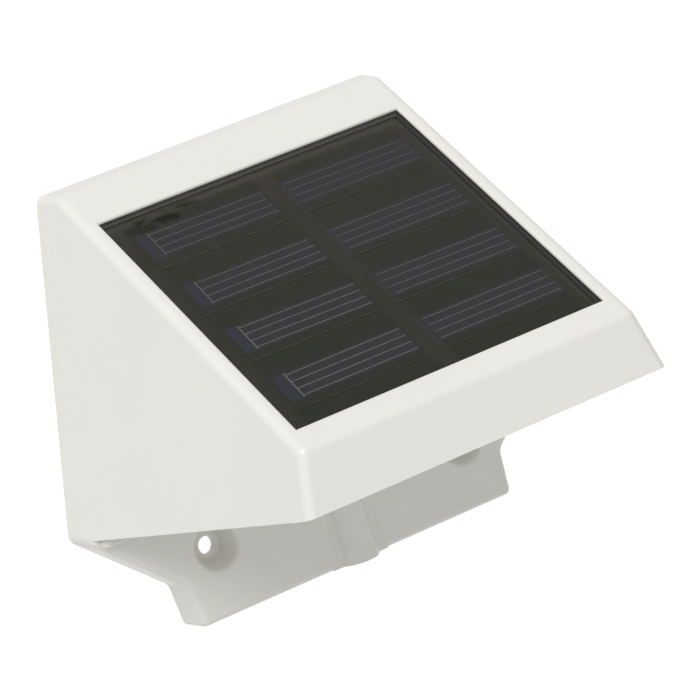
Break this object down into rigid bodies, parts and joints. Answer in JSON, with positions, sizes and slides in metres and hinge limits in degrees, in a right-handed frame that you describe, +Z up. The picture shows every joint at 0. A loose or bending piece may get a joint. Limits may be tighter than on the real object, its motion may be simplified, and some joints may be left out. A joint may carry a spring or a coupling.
{
  "type": "dock light",
  "caption": "Wedge-shaped solar dock light with a sloped solar panel, a downward lamp behind a lens, a battery door and a wall tab with dished screw holes.",
  "frame": {"origin": "on the wall plane, midway between the two wall screws", "axes": "+X to the right seen from the front, +Y into the wall, +Z up"},
  "size_m": [0.1274, 0.0894, 0.1048],
  "materials": {
    "white_plastic": "moulded white, softly glossy",
    "clear_resin": "clear cast resin over the cells",
    "silicon": "dark blue-black cells with fine silver lines",
    "panel_board": "dark laminate",
    "foam": "closed-cell foam",
    "seal_rubber": "grey-black silicone",
    "stainless": "plain stainless",
    "frosted_lens": "frosted ribbed acrylic",
    "bright_coating": "vacuum metallised",
    "white_board": "white solder resist",
    "led_epoxy": "clear epoxy with yellow phosphor",
    "green_board": "green solder resist",
    "component_black": "moulded epoxy and wound parts",
    "black_plastic": "moulded black",
    "nickel": "nickel-plated spring steel",
    "cell_wrap": "plain green shrink wrap",
    "brass": "plain brass",
    "lead_red": "red wire jacket",
    "lead_black": "black wire jacket",
    "lead_white": "white wire jacket"
  },
  "bodies": {
    "light": {"housing": "white_plastic", "panel_cover": "clear_resin", "solar_cells": "silicon", "panel_board": "panel_board", "panel_gasket": "foam", "bottom_cover": "white_plastic", "cover_seal": "seal_rubber", "cover_screws": "stainless", "lens": "frosted_lens", "lens_seal": "seal_rubber", "reflector": "bright_coating", "led_board": "white_board", "leds": "led_epoxy", "led_screws": "stainless", "control_board": "green_board", "control_parts": "component_black", "control_screws": "stainless", "battery_box": "black_plastic", "box_screws": "stainless", "contact_plates": "nickel", "contact_springs": "nickel", "battery_rear": "cell_wrap", "battery_front": "cell_wrap", "door_inserts": "brass", "switch_body": "black_plastic", "panel_lead_red": "lead_red", "panel_lead_black": "lead_black", "battery_lead_red": "lead_red", "battery_lead_black": "lead_black", "lamp_lead_red": "lead_red", "lamp_lead_white": "lead_white", "switch_lead_red": "lead_red", "switch_lead_black": "lead_black"},
    "battery_door": {"battery_door": "white_plastic", "door_seal": "seal_rubber"},
    "door_screw_left": {"door_screw_left": "stainless"},
    "door_screw_right": {"door_screw_right": "stainless"},
    "switch_slider": {"switch_slider": "black_plastic"}
  },
  "joints": [
    {"name": "battery_door_slide", "type": "slide", "parent": "light", "child": "battery_door", "axis": [0, 0, -1], "range_m": [0, 0.03]},
    {"name": "door_screw_left_turn", "type": "hinge", "parent": "battery_door", "child": "door_screw_left", "pos_m": [-0.0348, -0.0315, 0.017], "axis": [0, 0, 1], "continuous": true},
    {"name": "door_screw_right_turn", "type": "hinge", "parent": "battery_door", "child": "door_screw_right", "pos_m": [0.0348, -0.0315, 0.017], "axis": [0, 0, 1], "continuous": true},
    {"name": "switch_slide", "type": "slide", "parent": "light", "child": "switch_slider", "axis": [0, 1, 0], "range_m": [0, 0.003]}
  ]
}
